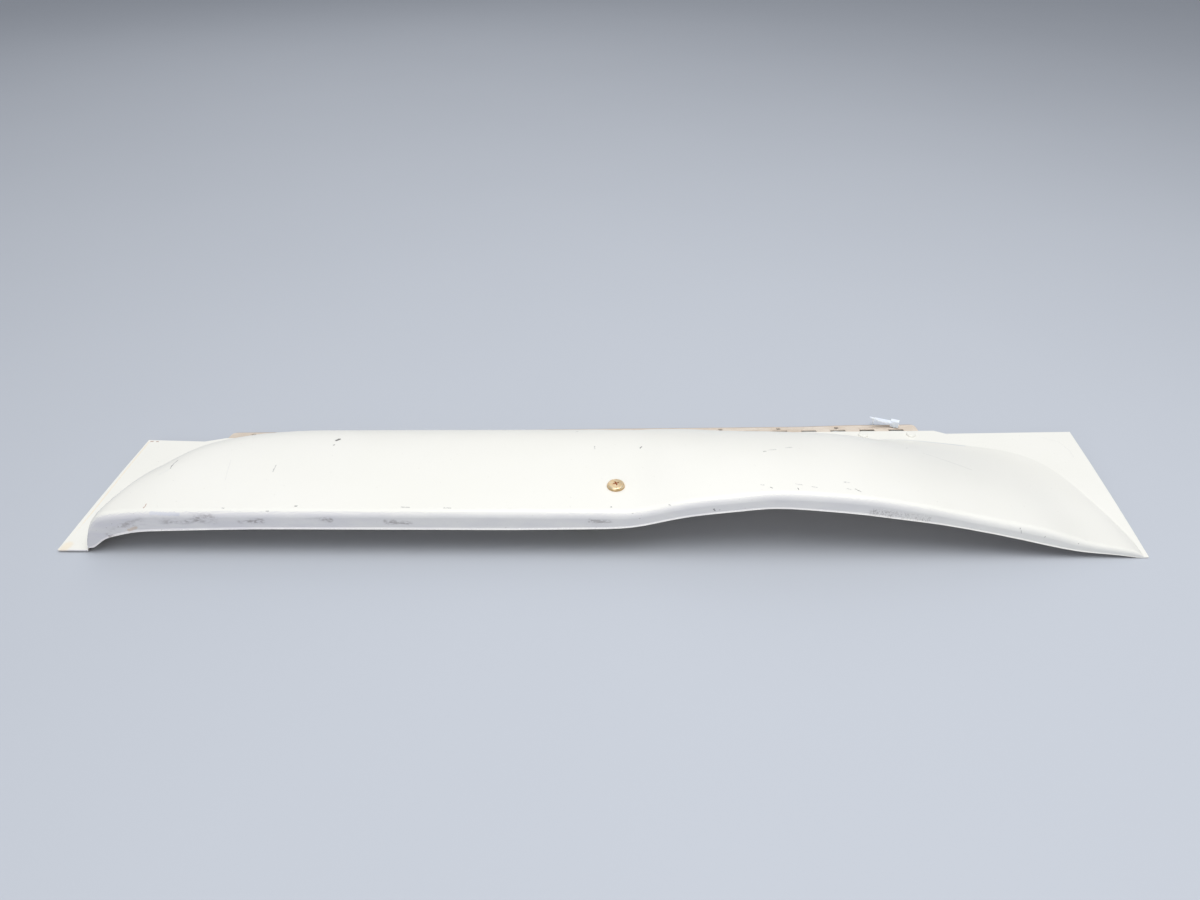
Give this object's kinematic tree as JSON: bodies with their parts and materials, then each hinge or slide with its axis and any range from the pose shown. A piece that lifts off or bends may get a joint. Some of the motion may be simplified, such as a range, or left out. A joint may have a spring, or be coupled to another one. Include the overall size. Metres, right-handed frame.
{
  "type": "nose gear door",
  "caption": "Long blistered landing-gear door of pressed sheet with a turned-down free edge, a continuous hinge with a loose airframe half, and a link bracket underneath.",
  "frame": {"origin": "middle of the footprint, on the surface the door lies on", "axes": "+X along the hinge, +Y from the free edge to the hinge, +Z out of the door's outer face"},
  "size_m": [0.8076, 0.1775, 0.0573],
  "materials": {
    "white_paint": "gloss white enamel over beige primer, with small chips and scuffs",
    "white_paint_hinge": "gloss white enamel",
    "white_paint_rivets": "gloss white enamel",
    "beige_primer": "matte beige primer",
    "steel_pin": "plain wire",
    "primed_bracket": "yellow-green primer",
    "plated_screw": "cadmium plate, yellowed",
    "plated_cup": "cadmium plate, yellowed",
    "plated_washer": "cadmium plate",
    "plated_nut": "cadmium plate",
    "nylon_insert": "nylon",
    "nylon_tie": "natural nylon"
  },
  "bodies": {
    "door": {"door_skin": "white_paint", "hinge_leaf_door": "white_paint_hinge", "hinge_rivets": "white_paint_rivets", "hinge_pin": "steel_pin", "link_bracket": "primed_bracket", "bracket_screw": "plated_screw", "cup_washer": "plated_cup", "plain_washer": "plated_washer", "lock_nut": "plated_nut", "nut_insert": "nylon_insert"},
    "loose_hinge_half": {"hinge_leaf_frame": "beige_primer", "tag_tie": "nylon_tie"}
  },
  "joints": [
    {"name": "hinge", "type": "hinge", "parent": "door", "child": "loose_hinge_half", "pos_m": [-0.0243, 0.07356, 0.00219], "axis": [1, 0, 0], "range_deg": [-135, 80]}
  ]
}
